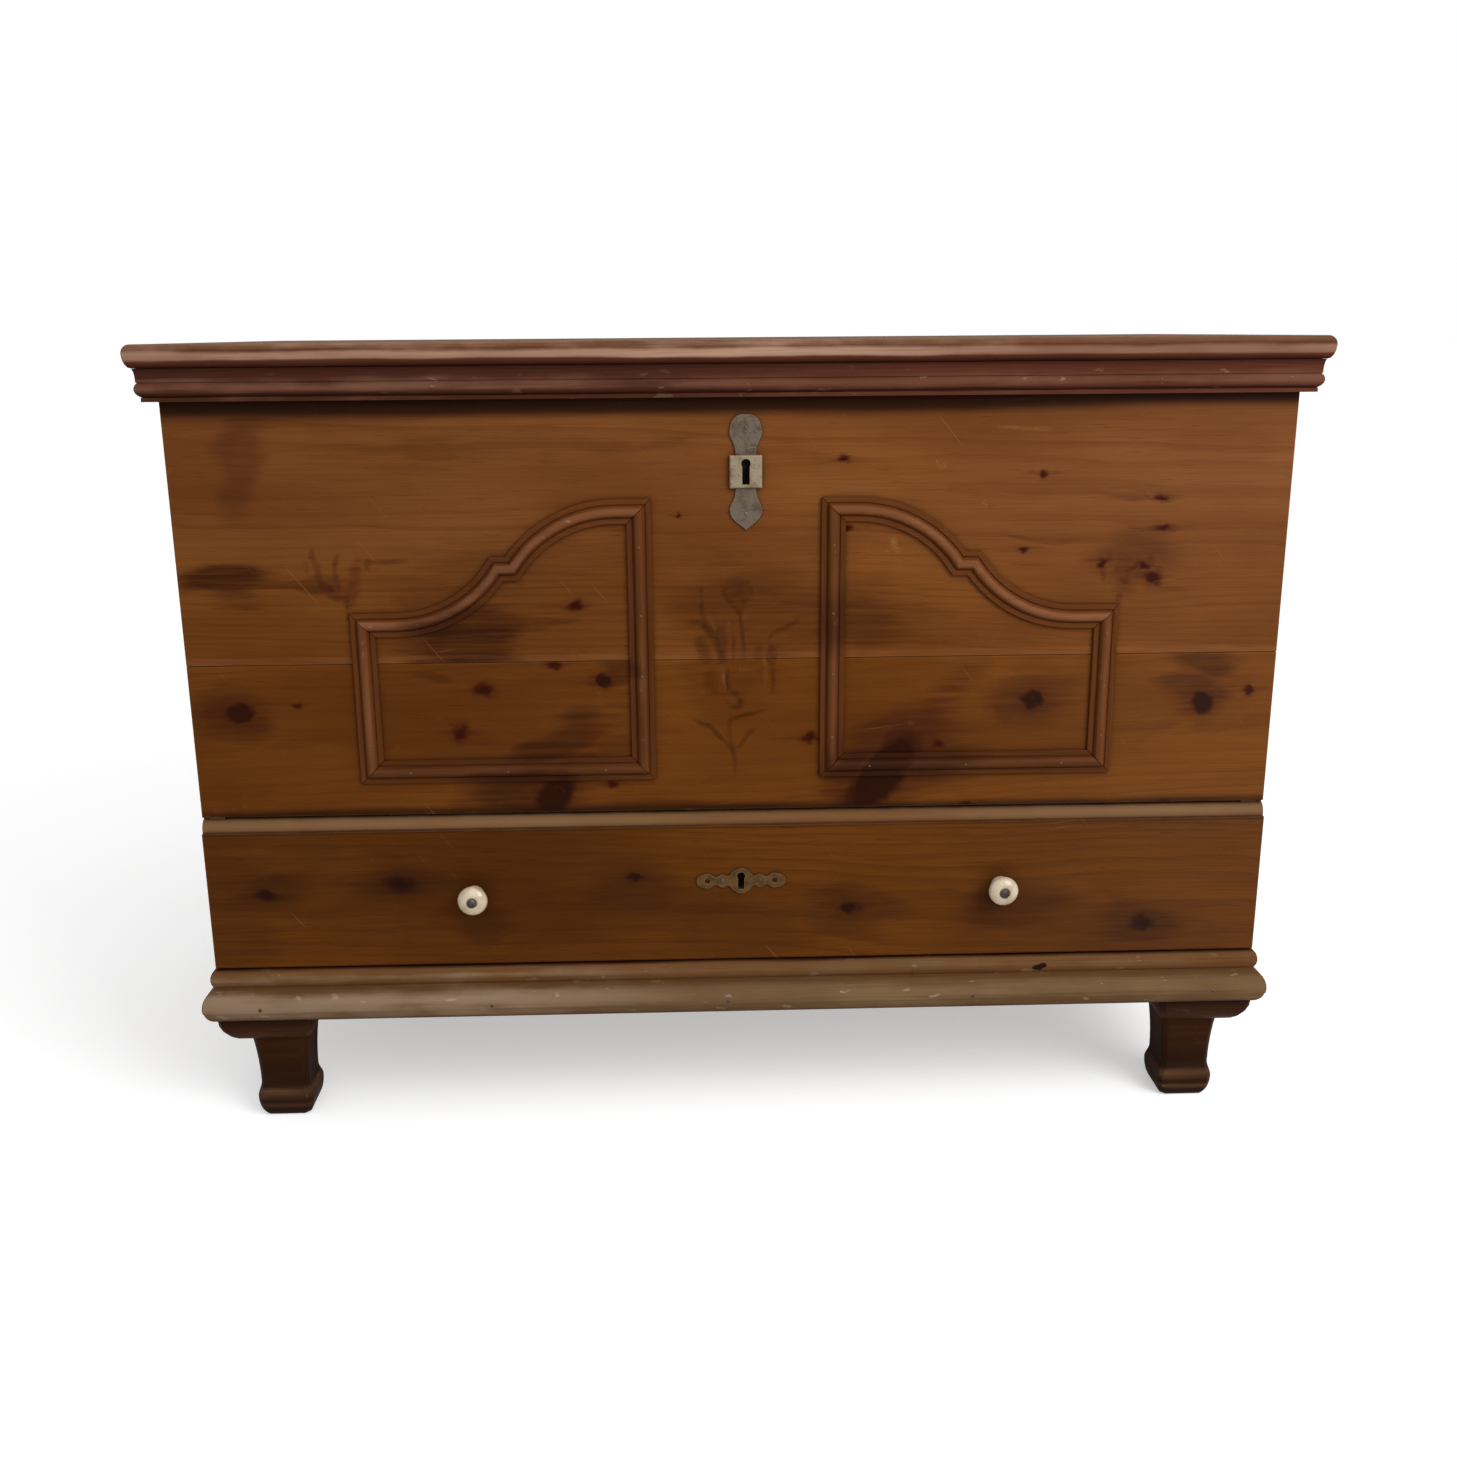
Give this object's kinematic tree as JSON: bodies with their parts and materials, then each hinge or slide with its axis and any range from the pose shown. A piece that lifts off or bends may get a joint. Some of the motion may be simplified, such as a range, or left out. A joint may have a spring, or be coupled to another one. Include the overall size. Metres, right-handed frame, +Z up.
{
  "type": "drawer coffer",
  "caption": "Pine coffer with a lift-up moulded lid over a storage well, a long lipped drawer below, arched frames on the front and shaped feet.",
  "frame": {"origin": "on the floor under the middle of the closed chest's outer box", "axes": "+X to the right seen from the front, +Y to the back, +Z up; the front faces -Y"},
  "size_m": [1.146, 0.5872, 0.825],
  "materials": {
    "front_pine": "old amber-brown waxed pine with knots",
    "drawer_pine": "old dark brown waxed pine",
    "lid_pine": "old brown waxed pine, worn pale on the edge",
    "rim_pine": "dark red-brown stained moulding",
    "plinth_pine": "worn brown moulding",
    "foot_pine": "dark stained wood",
    "frame_pine": "red-brown stained moulding",
    "raw_pine": "bare old pine",
    "iron": "dark forged iron",
    "plate_iron": "worn grey sheet iron",
    "old_brass": "dull dark brass",
    "porcelain": "glazed off-white porcelain"
  },
  "bodies": {
    "case": {"front_board_upper": "front_pine", "front_board_lower": "front_pine", "side_board_left": "front_pine", "side_board_right": "front_pine", "back_board_upper": "raw_pine", "back_board_lower": "raw_pine", "chest_floor_front": "raw_pine", "chest_floor_back": "raw_pine", "plinth_front": "plinth_pine", "plinth_left": "plinth_pine", "plinth_right": "plinth_pine", "plinth_back": "plinth_pine", "foot_front_left": "foot_pine", "foot_front_right": "foot_pine", "foot_back_left": "foot_pine", "foot_back_right": "foot_pine", "drawer_runner_left": "raw_pine", "drawer_runner_right": "raw_pine", "frame_arch_left": "frame_pine", "frame_arch_right": "frame_pine", "frame_stile_inner_left": "frame_pine", "frame_stile_inner_right": "frame_pine", "frame_stile_outer_left": "frame_pine", "frame_stile_outer_right": "frame_pine", "frame_rail_left": "frame_pine", "frame_rail_right": "frame_pine", "lid_lock_plate": "plate_iron", "lid_lock_square": "plate_iron", "lid_lock_case": "iron", "hinge_leaf_left": "iron", "hinge_leaf_right": "iron", "hinge_pin_left": "iron", "hinge_pin_right": "iron"},
    "lid": {"lid_board_front": "lid_pine", "lid_board_back": "lid_pine", "lid_rim_front": "rim_pine", "lid_rim_left": "rim_pine", "lid_rim_right": "rim_pine", "hinge_strap_left": "iron", "hinge_strap_right": "iron", "lid_lock_staple": "iron"},
    "drawer": {"drawer_front": "drawer_pine", "drawer_side_left": "raw_pine", "drawer_side_right": "raw_pine", "drawer_back": "raw_pine", "drawer_bottom": "raw_pine", "knob_left": "porcelain", "knob_right": "porcelain", "knob_bolt_left": "iron", "knob_bolt_right": "iron", "knob_nut_left": "iron", "knob_nut_right": "iron", "drawer_lock_plate": "old_brass", "drawer_lock_case": "iron"},
    "lid_bolt": {"lid_lock_bolt": "iron"},
    "drawer_bolt": {"drawer_lock_bolt": "iron"}
  },
  "joints": [
    {"name": "lid_hinge", "type": "hinge", "parent": "case", "child": "lid", "pos_m": [0, 0.28755, 0.797], "axis": [-1, 0, 0], "range_deg": [0, 95]},
    {"name": "drawer_slide", "type": "slide", "parent": "case", "child": "drawer", "axis": [0, -1, 0], "range_m": [0, 0.4]},
    {"name": "lid_bolt_throw", "type": "slide", "parent": "case", "child": "lid_bolt", "axis": [-1, 0, 0], "range_m": [0, 0.02]},
    {"name": "drawer_bolt_throw", "type": "slide", "parent": "drawer", "child": "drawer_bolt", "axis": [0, 0, 1], "range_m": [0, 0.013]}
  ]
}
